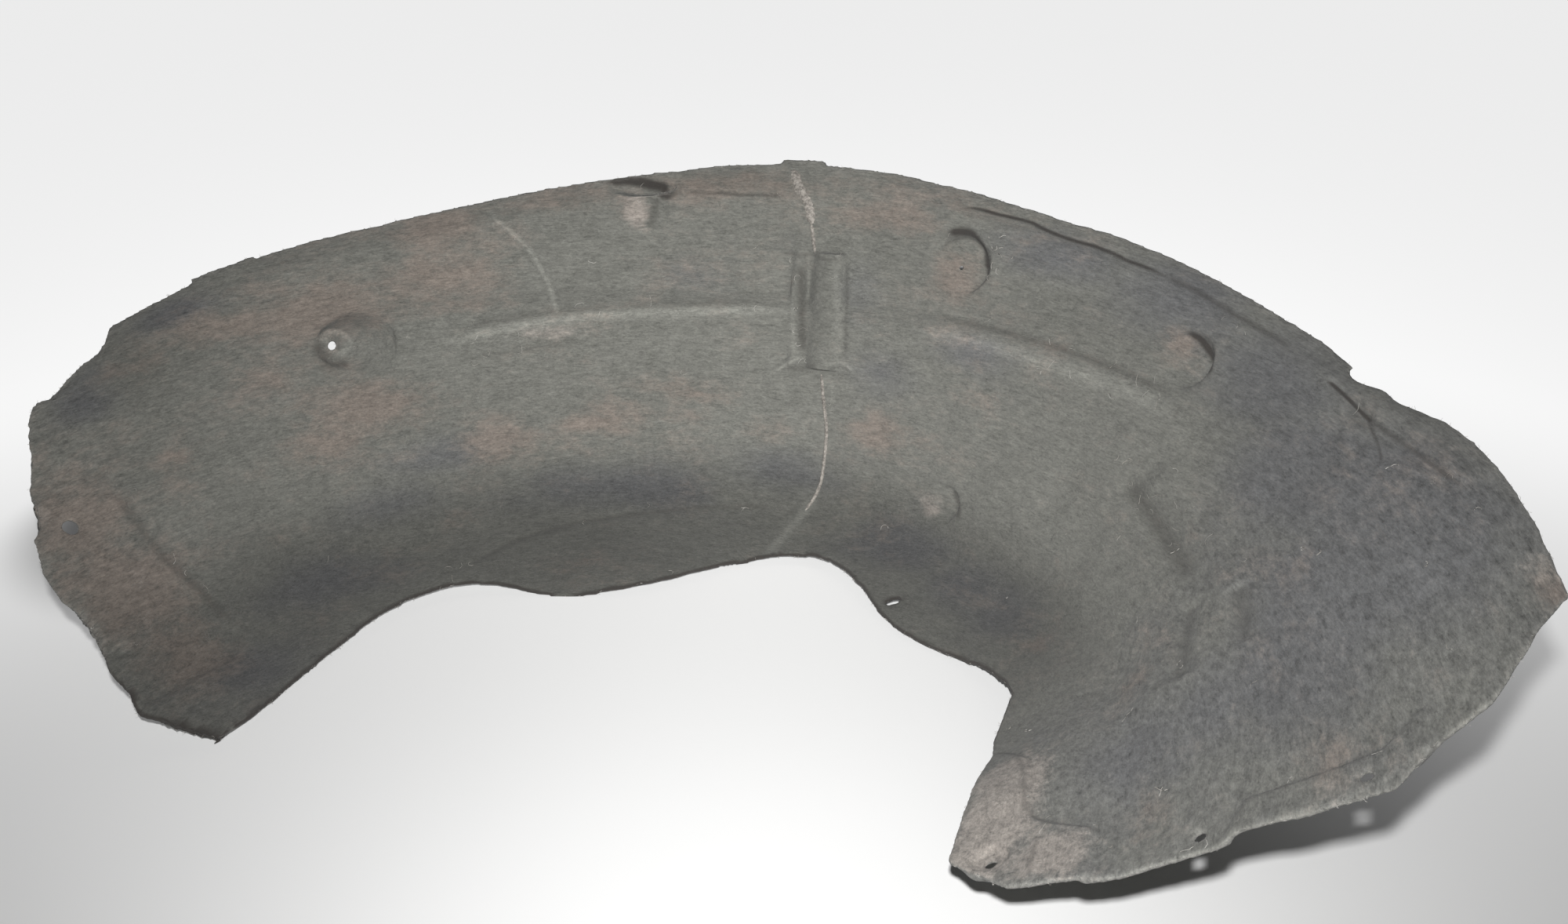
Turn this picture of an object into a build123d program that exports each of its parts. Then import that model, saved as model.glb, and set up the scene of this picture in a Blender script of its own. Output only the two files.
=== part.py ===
from build123d import *
from collections import namedtuple
from math import atan2, cos, degrees, radians, sin, tan
import os

# Felt, and the arch about the wheel axis
felt = 3.5
rim_radius = 531.0
rim_height = 309.0
knee_radius = 55.0

# Flange along the rim, bent outwards, with tabs above its edge and a step down at one end
rim_flange = 22.0
rim_flange_bend = 22.0
tab_height = 4.0
tab_spans = [(124.5, 130.0), (72.3, 76.3)]
rim_step_angle = 19.3
rim_step_below_peak = 60.0
rim_step_run = 120.0
rim_step_rise = 1.0

# Ledge pressed along the tread
ledge_below_peak = 119.0
ledge_rise = 12.0
ledge_clear = 45.0

# Sections of the arch at their angles: the lip inside the rim, the knee off the lip, the rim below its peak
Station = namedtuple("Station", "angle depth lift run rise drop ledge")
stations = [
    Station(166, 252, 3, 48, 13, 160, 0),
    Station(146, 238, 3, 50, 13, 114, 0),
    Station(126, 198, 3, 57, 15, 64, 0),
    Station(106, 188, 3, 87, 21, 38, 5),
    Station(88, 192, 3, 102, 22, 14, 9),
    Station(72, 130, 3, 60, 18, 1, 9),
    Station(54, 178, 3, 76, 24, 16, 8),
    Station(38, 192, 3, 58, 31, 31, 5),
    Station(22, 236, 11, 74, 46, 53, 0),
    Station(4, 294, 32, 92, 44, 61, 0),
    Station(-10, 304, 40, 98, 42, 92, 0),
    Station(-26, 304, 45, 100, 42, 128, 0),
]

station_step = 6.0

# Trim line in plan, as angle about the axis and inset from the rim
lip_spare = 28.0
rim_spare = 70.0
trim_corner = 6.0
lip_line = [
    (155.8, 249), (145, 238), (133, 216), (121, 182), (109, 176), (102, 195), (92, 199),
    (85, 183), (78, 149), (68, 121), (60, 152), (51, 187), (41, 189), (28.9, 203),
]
foot_line = [
    (28.9, 203), (22.6, 240), (17, 255), (9.2, 279), (-8.7, 302), (-15, 304), (-22.9, 264), (-22.4, 215),
    (-20.6, 159), (-19.7, 150), (-19.2, 84), (-15.7, 64), (-14.2, 43), (-8, 3), (-3, -rim_spare),
]
end_line = [
    (130, -rim_spare), (139.4, 13), (146.7, 26), (151.3, 62), (154.3, 100), (157.5, 182),
    (157.6, 210), (155.8, 249),
]

# Flanges pressed out of the arch at both ends, stepped away from the wheel or towards it
flange_step = 2.8
left_flange = [(144, 71), (144.6, 128), (140.8, 172), (142.4, 187), (165, 187), (165, 50), (148, 50)]
right_flange = [(-19.1, 155), (-16.2, 149), (-15.8, 89), (-13.5, 73), (-25, 73), (-25, 155)]
foot_flange = [
    (20, 256), (7.6, 255), (-9, 264), (-11.1, 254), (-13.5, 232), (-30, 213), (-30, 330), (20, 330),
]

# Depth of the two mould halves past the felt
mould_depth = 40.0

# Seats scooped away from the wheel, each placed by angle and height below the peak, facing by turn and tilt
seat_draft = 12.0
seat_draw = 28.0
scoop_radius = 21.0
scoop_depth = 1.5
scoop_place = (89.0, 54)
scoop_facing = (0, 18)
dimple_radius = 22.0
dimple_depth = 5.0
dimple_place = (58, 67)
dimple_facing = (-16, 26)
disc_radius = 20.0
disc_depth = 5.0
disc_place = (33.2, 87)
disc_facing = (-36, 38)
dent_radius = 14.0
dent_depth = 2.5
dent_place = (54.6, 244)
dent_facing = (-36, 20)
foot_seat_radius = 11.0
foot_seat_depth = 4.0
foot_seat_place = (-15.8, 280)

# Pocket shaped as a lens, pressed into the rim flange's fold above the scoop
pocket_length = 68.0
pocket_bulge = 7.0
pocket_place = (89.2, 26)

# Boss standing out towards the wheel, with a dished end
boss_radius = 13.0
boss_height = 13.0
boss_draft = 32.0
boss_dish_radius = 9.0
boss_dish_depth = 1.5
boss_place = (119.4, 131)
boss_facing = (-14, 22)

# Fastener holes
hole_radius = 3.5
clip_hole_radius = 2.0
slot_length = 11.0
slot_width = 4.0
flange_holes = [(149.8, 89), (-18.5, 172), (-17.3, 97)]
lip_slot = (54.8, 161)

# Rib pressed towards the wheel across the ledge: a broad bar and a narrow one beside it
rib_below_peak = 72.0
rib_length = 94.0
broad_bar_angle = 70.8
broad_bar_radius = 20.0
broad_bar_proud = 8.0
narrow_bar_angle = 74.0
narrow_bar_radius = 7.0
narrow_bar_proud = 3.0


def polar(angle, inset):
    radius = rim_radius - inset
    return (radius * cos(radians(angle)), radius * sin(radians(angle)))


def heading(a, b):
    return atan2(b[1] - a[1], b[0] - a[0])


# Station at any angle, on a smooth curve through the drawn ones
def blend(angle):
    drawn = stations
    i = max(k for k in range(len(drawn) - 1) if drawn[k].angle >= angle)
    a = drawn[max(i - 1, 0)]
    b = drawn[i]
    c = drawn[i + 1]
    d = drawn[min(i + 2, len(drawn) - 1)]
    span = c.angle - b.angle
    t = (angle - b.angle) / span
    values = []
    for p, q, r, u in zip(a, b, c, d):
        start = span * (r - p) / (c.angle - a.angle)
        end = span * (u - q) / (d.angle - b.angle)
        rise = (3 * t ** 2 - 2 * t ** 3) * (r - q)
        values.append(q + rise + (t ** 3 - 2 * t ** 2 + t) * start + (t ** 3 - t ** 2) * end)
    return Station(*values)


# Section of the arch, from the lip over the knee and the ledge to the rim
def profile(s):
    lip_radius = rim_radius - s.depth
    slope = atan2(s.rise, s.run)
    rim = (rim_radius, rim_height - s.drop)
    knee = (lip_radius + s.run, s.lift + s.rise)
    lip = (lip_radius - lip_spare * cos(slope), s.lift - lip_spare * sin(slope))
    lean = atan2(rim[0] - knee[0], rim[1] - knee[1]) + radians(rim_flange_bend)
    fold = (rim[0] - rim_flange * sin(lean), rim[1] - rim_flange * cos(lean))
    top = (rim[0] + tab_height * sin(lean), rim[1] + tab_height * cos(lean))
    tread = (fold[0] - knee[0]) / (fold[1] - knee[1])
    ledge_height = min(rim_height - ledge_below_peak, fold[1] - ledge_clear)
    low = (knee[0] + tread * (ledge_height - knee[1]), ledge_height)
    high = (low[0] + tread * ledge_rise + s.ledge, low[1] + ledge_rise)
    return [lip, knee, low, high, fold, top]


def shift(corners, distance):
    ways = [heading(a, b) for a, b in zip(corners, corners[1:])]
    moved = []
    for (r, z), into, out in zip(corners, ways[:1] + ways, ways + ways[-1:]):
        middle = (into + out) / 2
        reach = distance / cos((out - into) / 2)
        moved.append((r + reach * sin(middle), z - reach * cos(middle)))
    return moved


def round_knee(corners, radius):
    lip, knee, low = corners[:3]
    into = heading(lip, knee)
    out = heading(knee, low)
    run = radius * tan(abs(out - into) / 2)
    start = (knee[0] - run * cos(into), knee[1] - run * sin(into))
    end = (knee[0] + run * cos(out), knee[1] + run * sin(out))
    bend = [Line(lip, start), Bezier(start, knee, end), Line(end, low)]
    return bend + [Line(a, b) for a, b in zip(corners[2:], corners[3:])]


def upright(angle):
    a = radians(angle)
    return Plane(origin=(0, 0, 0), x_dir=(cos(a), sin(a), 0), z_dir=(sin(a), -cos(a), 0))


def section(s, near, far):
    front = shift(profile(s), near)
    back = shift(profile(s), far)
    edges = round_knee(front, knee_radius + near) + round_knee(back, knee_radius + far)
    edges += [Line(front[0], back[0]), Line(front[-1], back[-1])]
    return make_face(edges)


def along_arch(shape):
    first = stations[0].angle
    last = stations[-1].angle
    steps = round((first - last) / station_step)
    angles = [first + (last - first) * i / steps for i in range(steps + 1)]
    return loft([upright(a) * shape(blend(a)) for a in angles], ruled=True)


def arch(near, far):
    return along_arch(lambda s: section(s, near, far))


# Waste above the rim, left standing at the tabs
def rim_section(s):
    fold, top = profile(s)[-2:]
    way = heading(fold, top)
    strip = Rectangle(rim_spare, 2 * rim_spare, align=(Align.MIN, Align.CENTER))
    return Pos(*top) * Rot(0, 0, degrees(way)) * Pos(-tab_height, 0) * strip


def wedge(start, end):
    reach = 2 * rim_radius
    corners = [polar(0, rim_radius), polar(start, -reach), polar(end, -reach)]
    return extrude(make_face(Polyline(*corners, close=True)), 2 * rim_height)


def rim_step():
    a = radians(rim_step_angle)
    start = (*polar(rim_step_angle, 0), rim_height - rim_step_below_peak)
    plane = Plane(origin=start, x_dir=(sin(a), -cos(a), 0), z_dir=(-cos(a), -sin(a), 0))
    corners = [(0, 0), (rim_step_run, rim_step_rise), (rim_step_run, rim_height), (0, rim_height)]
    return extrude(plane * make_face(Polyline(*corners, close=True)), rim_spare, both=True)


# Cuts straight down through the plan
def plan_prism(outline):
    return Pos(0, 0, -rim_height) * extrude(outline, 3 * rim_height)


def plan_face(corners):
    return make_face(Polyline(*[polar(*p) for p in corners], close=True))


def trim_prism():
    lip = Spline(*[polar(*p) for p in lip_line])
    foot = FilletPolyline(*[polar(*p) for p in foot_line], radius=trim_corner)
    end = FilletPolyline(*[polar(*p) for p in end_line], radius=trim_corner)
    middle = (foot_line[-1][0] + end_line[0][0]) / 2
    rim = ThreePointArc(foot @ 1, polar(middle, -rim_spare), end @ 0)
    return plan_prism(make_face([lip, foot, rim, end]))


# Places on the wheel side: out from the axis to the tread, or down on to a flank
def on_tread(angle, below_peak):
    a = radians(angle)
    return nearest(Axis((0, 0, rim_height - below_peak), (cos(a), sin(a), 0)))


def on_flank(angle, inset):
    return nearest(Axis((*polar(angle, inset), 2 * rim_height), (0, 0, -1)))


def nearest(ray):
    hits = shell.find_intersection_points(ray)
    return min(hits, key=lambda hit: (hit[0] - ray.position).length)


def facing(turn, tilt):
    level = cos(radians(tilt))
    return Vector(level * sin(radians(turn)), -level * cos(radians(turn)), sin(radians(tilt)))


def cone(plane, start, radius, height, draft):
    far_radius = radius + height * tan(radians(draft))
    return plane * Pos(0, 0, start) * Cone(radius, far_radius, height, align=bottom)


# Flange stepped back from the wheel, or raised towards it
def sink_flange(corners):
    outline = plan_face(corners)
    front_added.append(arch(-felt, flange_step) & plan_prism(outline))
    back_added.append(arch(0, felt + flange_step) & plan_prism(offset(outline, felt)))


def raise_flange(corners):
    outline = plan_face(corners)
    front_cut.append(arch(-flange_step, mould_depth) & plan_prism(offset(outline, felt)))
    back_cut.append(arch(felt - flange_step, mould_depth) & plan_prism(outline))


def press_seat(point, way, radius, depth):
    plane = Plane(origin=point, z_dir=way)
    front_added.append(cone(plane, -depth, radius, seat_draw, seat_draft))
    back_added.append(cone(plane, -depth - felt, radius + felt, seat_draw, seat_draft))


def spindle(half_length, bulge):
    arc = ThreePointArc((-half_length, 0), (0, bulge), (half_length, 0))
    return revolve(make_face([arc, Line(arc @ 1, arc @ 0)]), Axis.X)


def press_pocket(angle, below_peak):
    plane = Plane(origin=on_tread(angle, below_peak)[0], x_dir=(*polar(angle + 90, 0), 0))
    front_added.append(plane * spindle(pocket_length / 2, pocket_bulge))
    back_added.append(plane * spindle(pocket_length / 2 + 2 * felt, pocket_bulge + felt))


def press_boss(point, way):
    plane = Plane(origin=point + way * boss_height, z_dir=way * -1)
    front_cut.append(cone(plane, 0, boss_radius, mould_depth, boss_draft))
    back_cut.append(cone(plane, felt + boss_dish_depth, boss_radius - felt, mould_depth, boss_draft))
    dishes.append(plane * Cylinder(boss_dish_radius, 2 * boss_dish_depth))


def channel(plane, radius, length):
    open_back = Pos(-mould_depth / 2, 0) * Rectangle(mould_depth, 2 * radius)
    return extrude(plane * (Circle(radius) + open_back), length / 2, both=True)


def press_bar(angle, radius, proud):
    top, normal = on_tread(angle, rib_below_peak)
    foot = on_tread(angle, rib_below_peak + rib_length)[0]
    along = (top - foot).normalized()
    out = (normal - along * normal.dot(along)).normalized()
    plane = Plane(origin=(top + foot) / 2 + out * (proud - radius), x_dir=out, z_dir=along)
    length = (top - foot).length
    front_cut.append(channel(plane, radius, length))
    back_cut.append(channel(plane, radius - felt, length - 2 * felt))


def drill(point, way, radius):
    return Plane(origin=point, z_dir=way) * Cylinder(radius, 2 * mould_depth)


bottom = (Align.CENTER, Align.CENTER, Align.MIN)
shell = arch(0, felt)
front_added = []
front_cut = []
back_added = []
back_cut = []
dishes = []

sink_flange(left_flange)
raise_flange(right_flange)
raise_flange(foot_flange)

scoop = on_tread(*scoop_place)[0]
dimple = on_tread(*dimple_place)[0]
disc = on_tread(*disc_place)[0]
dent = on_tread(*dent_place)[0]
boss = on_tread(*boss_place)[0]
foot_seat, foot_way = on_flank(*foot_seat_place)
press_seat(scoop, facing(*scoop_facing), scoop_radius, scoop_depth)
press_seat(dimple, facing(*dimple_facing), dimple_radius, dimple_depth)
press_seat(disc, facing(*disc_facing), disc_radius, disc_depth)
press_seat(dent, facing(*dent_facing), dent_radius, dent_depth)
press_seat(foot_seat, foot_way, foot_seat_radius, foot_seat_depth - flange_step)
press_pocket(*pocket_place)
press_boss(boss, facing(*boss_facing))
press_bar(broad_bar_angle, broad_bar_radius, broad_bar_proud)
press_bar(narrow_bar_angle, narrow_bar_radius, narrow_bar_proud)

# The felt fills the gap between the two mould halves
front = arch(-mould_depth - felt, 0) - front_cut + front_added + dishes
back = arch(-mould_depth, felt) - back_cut + back_added
liner = back - front

rim_waste = along_arch(rim_section)
for span in tab_spans:
    rim_waste -= wedge(*span)
liner -= [rim_waste, rim_step()]
liner &= trim_prism()

holes = [drill(*on_flank(angle, inset), hole_radius) for angle, inset in flange_holes]
holes.append(drill(boss, facing(*boss_facing), hole_radius))
holes.append(drill(foot_seat, foot_way, hole_radius))
holes.append(drill(dimple, facing(*dimple_facing), clip_hole_radius))
holes.append(Pos(*polar(*lip_slot)) * plan_prism(SlotOverall(slot_length, slot_width)))
liner -= holes

box = liner.bounding_box()
liner = Pos(-box.center().X, -box.center().Y, -box.min.Z) * liner

os.makedirs("parts", exist_ok=True)
export_step(liner, "parts/wheel_arch_liner.step")
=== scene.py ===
import math
import bmesh
import bpy
import numpy as np
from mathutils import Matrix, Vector
from mathutils.bvhtree import BVHTree


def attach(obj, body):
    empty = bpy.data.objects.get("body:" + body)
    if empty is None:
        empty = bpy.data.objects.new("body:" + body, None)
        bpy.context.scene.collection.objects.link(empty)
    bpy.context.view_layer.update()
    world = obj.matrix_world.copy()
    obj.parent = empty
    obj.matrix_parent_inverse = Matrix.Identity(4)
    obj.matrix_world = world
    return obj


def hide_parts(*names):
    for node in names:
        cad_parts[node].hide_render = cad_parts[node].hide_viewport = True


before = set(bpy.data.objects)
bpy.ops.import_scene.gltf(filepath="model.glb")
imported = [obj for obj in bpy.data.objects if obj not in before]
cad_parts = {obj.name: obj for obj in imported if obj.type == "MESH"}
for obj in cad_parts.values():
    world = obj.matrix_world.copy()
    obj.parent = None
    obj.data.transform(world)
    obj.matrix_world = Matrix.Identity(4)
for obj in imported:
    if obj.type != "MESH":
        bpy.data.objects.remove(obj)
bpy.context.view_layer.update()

# the wheel's axis stands here in plan; places on the felt are (angle about it, radius mm, height mm)
wheelAxis = (-0.0549, -0.1935)
floorLift = 0.00336


def onArch(angle, radius, height):
    turn = math.radians(angle)
    x = wheelAxis[0] + radius / 1000 * math.cos(turn)
    y = wheelAxis[1] + radius / 1000 * math.sin(turn)
    return (x, y, height / 1000 + floorLift)


# camera

cameraSet = {"place": (0.0721, -0.9375, 0.6034), "down": 24.3, "lens": 34.74, "sensor": 36.0, "near": 0.01}

cameraData = bpy.data.cameras.new("photoCamera")
cameraData.lens = cameraSet["lens"]
cameraData.sensor_width = cameraSet["sensor"]
cameraData.clip_start = cameraSet["near"]
camera = bpy.data.objects.new("photoCamera", cameraData)
camera.location = cameraSet["place"]
camera.rotation_euler = (math.radians(90 - cameraSet["down"]), 0, 0)
bpy.context.scene.collection.objects.link(camera)
bpy.context.scene.camera = camera
print("camera set")


# shader wiring: a socket that takes part in Python expressions


class Wire:
    def __init__(self, tree, socket=None):
        self.tree = tree
        self.socket = socket

    # any node: its settings are set first, then its sockets get values or links
    def node(self, kind, settings=None, sockets=None, out=0):
        made = self.tree.nodes.new("ShaderNode" + kind)
        for name, value in (settings or {}).items():
            setattr(made, name, value)
        for name, value in (sockets or {}).items():
            if isinstance(value, Wire):
                self.tree.links.new(value.socket, made.inputs[name])
            else:
                made.inputs[name].default_value = value
        return Wire(self.tree, made.outputs[out])

    def maths(self, operation, *values):
        return self.node("Math", {"operation": operation}, dict(enumerate(values)))

    def __add__(self, other):
        return self.maths("ADD", self, other)

    def __radd__(self, other):
        return self.maths("ADD", other, self)

    def __sub__(self, other):
        return self.maths("SUBTRACT", self, other)

    def __rsub__(self, other):
        return self.maths("SUBTRACT", other, self)

    def __mul__(self, other):
        return self.maths("MULTIPLY", self, other)

    def __rmul__(self, other):
        return self.maths("MULTIPLY", other, self)

    def __pow__(self, other):
        return self.maths("POWER", self, other)

    def __rpow__(self, other):
        return self.maths("POWER", other, self)

    def __abs__(self):
        return self.maths("ABSOLUTE", self)

    def between(self, low, high):
        settings = {"interpolation_type": "SMOOTHSTEP"}
        return self.node("MapRange", settings, {"Value": self, "From Min": low, "From Max": high})

    def stretch(self, scale):
        return self.node("VectorMath", {"operation": "MULTIPLY"}, {0: self, 1: scale})

    def noise(self, detail, rough, twist=0.0):
        sockets = {"Vector": self, "Scale": 1.0, "Detail": detail, "Roughness": rough, "Distortion": twist}
        return self.node("TexNoise", None, sockets)

    # colours go through Mix: fixed ones as (red, green, blue)
    def mixed(self, first, second, amount, blend="MIX"):
        first, second = (c if isinstance(c, Wire) else (*c, 1) for c in (first, second))
        settings = {"data_type": "RGBA", "blend_type": blend}
        return self.node("Mix", settings, {0: amount, 6: first, 7: second}, out=2)

    def tint(self, colour, amount):
        return self.mixed(self, colour, amount)

    def grey(self):
        return self.node("CombineColor", None, {0: self, 1: self, 2: self})

    def feed(self, shader, socket):
        self.tree.links.new(self.socket, shader.inputs[socket])


def newMaterial(name, values):
    material = bpy.data.materials.new(name)
    material.use_nodes = True
    shader = material.node_tree.nodes["Principled BSDF"]
    for socket, value in values.items():
        shader.inputs[socket].default_value = value
    return material, shader, Wire(material.node_tree)


# lines on the felt: the presses, folds and edges, each through a few places


def ringLine(angle, radius, height, size):
    line = []
    for k in range(13):
        turn = math.radians(30 * k)
        aside = math.degrees(size / radius * math.cos(turn))
        line.append((angle + aside, radius, height + size * math.sin(turn)))
    return line


feltLines = {
    "crease": [(103.6, 521, 268), (101.1, 512, 248), (99.5, 507, 226), (98.5, 502, 207), (97.8, 490, 186),
               (97.6, 487, 178)],
    "creaseEdge": [(103.6, 521, 268), (101, 512, 248), (99.4, 507, 227), (98.4, 502, 207), (97.8, 490, 186),
                   (97.6, 487, 178)],
    "scoopMouth": [(92.9, 530, 288), (90.3, 527, 289), (87.8, 528, 283), (85.8, 516, 280)],
    "scoopTail": [(85.8, 517, 281), (81.8, 517, 281), (78, 516, 281), (75, 517, 282)],
    "scoopSide": [(87.9, 516, 277), (88.2, 516, 263), (88.6, 512, 250)],
    "bossSide": [(121.2, 483, 187), (121.4, 477, 174), (120.4, 474, 164), (118.8, 467, 170)],
    "bossRing": ringLine(119.7, 476, 185, 9),
    "endFlange": [(144.4, 453, 126), (144.4, 420, 93), (144.1, 404, 78), (142.9, 391, 62), (141.9, 376, 44),
                  (140.8, 361, 26)],
    "endFlangeRing": ringLine(154, 374, 47, 8),
    "ledgeCornerLeft": [(109.6, 484, 174), (104.9, 488, 181), (97.9, 489, 186), (89.3, 490, 189),
                        (81.5, 495, 192), (74.4, 498, 195)],
    "ledgeEdgeLeft": [(109.7, 482, 167), (105, 485, 173), (97.1, 487, 181), (86.1, 489, 185),
                      (74.8, 496, 189)],
    "ledgeUnderLeft": [(106.8, 477, 153), (100.8, 480, 157), (95.3, 481, 163)],
    "ledgeCornerRight": [(61, 496, 200), (52.4, 491, 200), (44.9, 487, 200), (37.3, 483, 200),
                         (31.4, 478, 198)],
    "ledgeEdgeRight": [(61, 494, 190), (52.4, 489, 190), (44.9, 484, 190), (37.3, 480, 190),
                       (32, 477, 188)],
    "ledgeEndRight": [(31.6, 478, 197), (31.2, 475, 185)],
    "ribChannel": [(73.9, 507, 232), (73.4, 496, 191), (72.9, 487, 151)],
    "ribChannelEdge": [(74.8, 510, 227), (73.8, 485, 152)],
    "ribBar": [(70.2, 504, 236), (69.3, 485, 153)],
    "ribSide": [(69.4, 508, 235), (68.9, 498, 194), (68.4, 487, 153)],
    "ribTop": [(76.4, 512, 234), (72.9, 511, 235), (69.5, 512, 237)],
    "ribFoot": [(74.8, 485, 139), (73.2, 485, 142), (70.9, 479, 148)],
    "flareLeft": [(75.9, 484, 136), (74.4, 484, 146), (72.9, 487, 152)],
    "flareRight": [(70.1, 482, 150), (68.6, 487, 152), (67.3, 484, 145)],
    "flareRightEdge": [(70.1, 480, 150), (68.6, 487, 152), (67.3, 484, 145)],
    "besideSeam": [(69.6, 483, 132), (69.5, 477, 105)],
    "seamTail": [(70.6, 458, 33), (71, 453, 27), (72.1, 440, 17), (72.9, 421, 10), (74.1, 399, 2)],
    "lipCrease": [(113.5, 368, 10), (105, 400, 17), (96.5, 417, 22), (86.2, 431, 26), (72, 455, 29)],
    "lipCreaseShade": [(113.5, 368, 10), (105, 400, 17), (96.5, 417, 22), (86.2, 431, 26), (78.8, 445, 26),
                      (72, 455, 29)],
    "kneeDent": [(54, 449, 76), (53.3, 447, 70), (52.4, 439, 65), (52.5, 436, 56)],
    "rimSeat": [(59.9, 512, 262), (59.4, 513, 267), (57.4, 514, 269), (56.2, 515, 260), (56.1, 521, 245),
                (55, 505, 234)],
    "treadSeat": [(34.4, 503, 238), (33.4, 510, 236), (32, 510, 227), (30.6, 499, 224), (30.2, 491, 217)],
    "rimGroove": [(59.7, 518, 284), (54, 520, 283), (49.8, 519, 278), (44.1, 517, 272), (37.5, 518, 267)],
    "rimGrooveShade": [(59.7, 518, 284), (54, 520, 283), (49.8, 519, 278), (44.1, 517, 272),
                      (39.6, 519, 269), (37.5, 518, 267)],
    "rimDip": [(37.5, 518, 267), (32, 516, 259), (28.8, 516, 255), (23, 516, 249)],
    "rimDipShade": [(39.5, 519, 269), (37.5, 518, 267), (32, 516, 259), (28.8, 516, 255), (24, 516, 250)],
    "wingCrease": [(20.1, 510, 244), (17.4, 508, 241), (13.8, 503, 237)],
    "wingLine": [(16.6, 507, 240), (13.8, 504, 238), (8.1, 505, 238), (4.5, 507, 238), (2.2, 509, 237),
                 (-1.5, 514, 233)],
    "wingLineShade": [(16.6, 507, 240), (13.8, 504, 238), (8.1, 505, 238), (4.5, 507, 238), (2.2, 509, 237)],
    "wingFork": [(15.2, 505, 239), (13.6, 502, 236), (11.3, 497, 231), (9.6, 491, 224)],
    "foldDip": [(33.8, 447, 141), (30.1, 441, 134), (23.7, 423, 128), (17, 411, 128)],
    "foldRidge": [(31.2, 457, 155), (27, 450, 149), (21, 434, 144), (14.5, 421, 143), (7, 402, 139)],
    "valleyLeft": [(15, 402, 123), (11.6, 385, 115), (4.7, 365, 109)],
    "valleyRight": [(10.9, 415, 146), (9, 410, 145), (2.8, 397, 140)],
    "valleyRightShade": [(10.9, 415, 146), (2.8, 397, 140)],
    "footFlange": [(18.2, 281, 15), (7.9, 277, 46), (1.2, 271, 54), (-8.2, 267, 59), (-12.3, 294, 73),
                   (-15.1, 324, 83)],
    "footCurl": [(-13.3, 276, 65), (-17.9, 274, 66), (-22.1, 277, 68)],
    "footSeat": [(-15.8, 251, 50), (-16.2, 254, 51)],
    "footEdge": [(-22.6, 268, 62), (-22.4, 315, 80), (-20.4, 372, 110)],
    "rightFlange": [(-19.8, 377, 118), (-15.6, 378, 118), (-15.6, 412, 143), (-15.2, 446, 165)],
    "wingEdge": [(-19.3, 385, 124), (-18.9, 440, 155), (-16, 465, 172), (-13, 500, 198), (-9, 522, 215)],
}

# soft folds: half width and height in mm, towards the wheel if positive
feltFolds = {
    "crease": (3.5, 2.6), "rimGroove": (4.0, -2.6), "rimDip": (6.0, -1.6), "wingCrease": (3.2, -2.6),
    "wingLine": (5.0, -2.0), "wingFork": (4.0, -1.6), "foldDip": (9.0, -3.2), "foldRidge": (11.0, 3.4),
    "valleyLeft": (9.0, -3.4), "valleyRight": (9.0, -3.0), "flareLeft": (3.0, 2.0),
    "flareRight": (3.0, 2.0), "footCurl": (3.0, 1.4), "lipCrease": (4.0, -1.2),
}

# painted shade in corners and creases, painted highlights and some wear on edges: half width in mm, strength
feltMarks = {
    # painted shade in the pressed corners, creases, folds and seat walls
    "paintedShade": {
        "scoopMouth": (5.5, 1.0), "scoopTail": (2.2, 0.5), "scoopSide": (6.0, 0.42), "bossSide": (8.0, 0.5),
        "endFlange": (6.5, 0.42), "ledgeCornerLeft": (5.5, 0.34), "ledgeUnderLeft": (4.0, 0.3),
        "ledgeCornerRight": (4.6, 0.42), "ledgeEndRight": (3.0, 0.35), "ribChannel": (5.4, 0.5),
        "ribSide": (2.6, 0.36), "ribTop": (2.2, 0.4), "ribFoot": (5.0, 0.35), "lipCreaseShade": (3.4, 0.36),
        "kneeDent": (3.6, 0.5), "rimSeat": (4.2, 0.95), "treadSeat": (3.6, 1.0),
        "rimGrooveShade": (1.8, 0.9), "rimDipShade": (3.4, 0.5), "wingCrease": (1.4, 1.0),
        "wingLineShade": (2.6, 0.5), "wingFork": (1.5, 0.55), "foldDip": (10.0, 0.46),
        "valleyLeft": (9.0, 0.4), "valleyRightShade": (9.0, 0.4), "footFlange": (3.0, 0.45),
        "footCurl": (2.4, 0.4), "footSeat": (8.0, 0.62), "rightFlange": (3.0, 0.35),
    },
    # painted highlights on lit ridges and edges, with real wear at the ring on the end flange
    "worn": {
        "ledgeEdgeLeft": (4.4, 0.9), "ledgeEdgeRight": (6.0, 0.7), "ribBar": (3.4, 0.4),
        "ribChannelEdge": (2.0, 0.4), "flareLeft": (1.8, 0.6), "flareRightEdge": (1.8, 0.6),
        "creaseEdge": (2.4, 0.75), "besideSeam": (1.4, 0.4), "seamTail": (4.2, 0.9),
        "bossRing": (2.6, 0.7), "endFlangeRing": (2.0, 0.6), "footEdge": (2.2, 0.6),
        "wingEdge": (2.2, 0.6),
    },
}

# corners of the rim that are worn round: place on the felt and reach in mm
rimCorners = [((19.3, 530, 251), 17), ((12.9, 522, 249), 18)]

# felt shell: the CAD solid remeshed fine, its pressed edges softened and its folds and fray added

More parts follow.
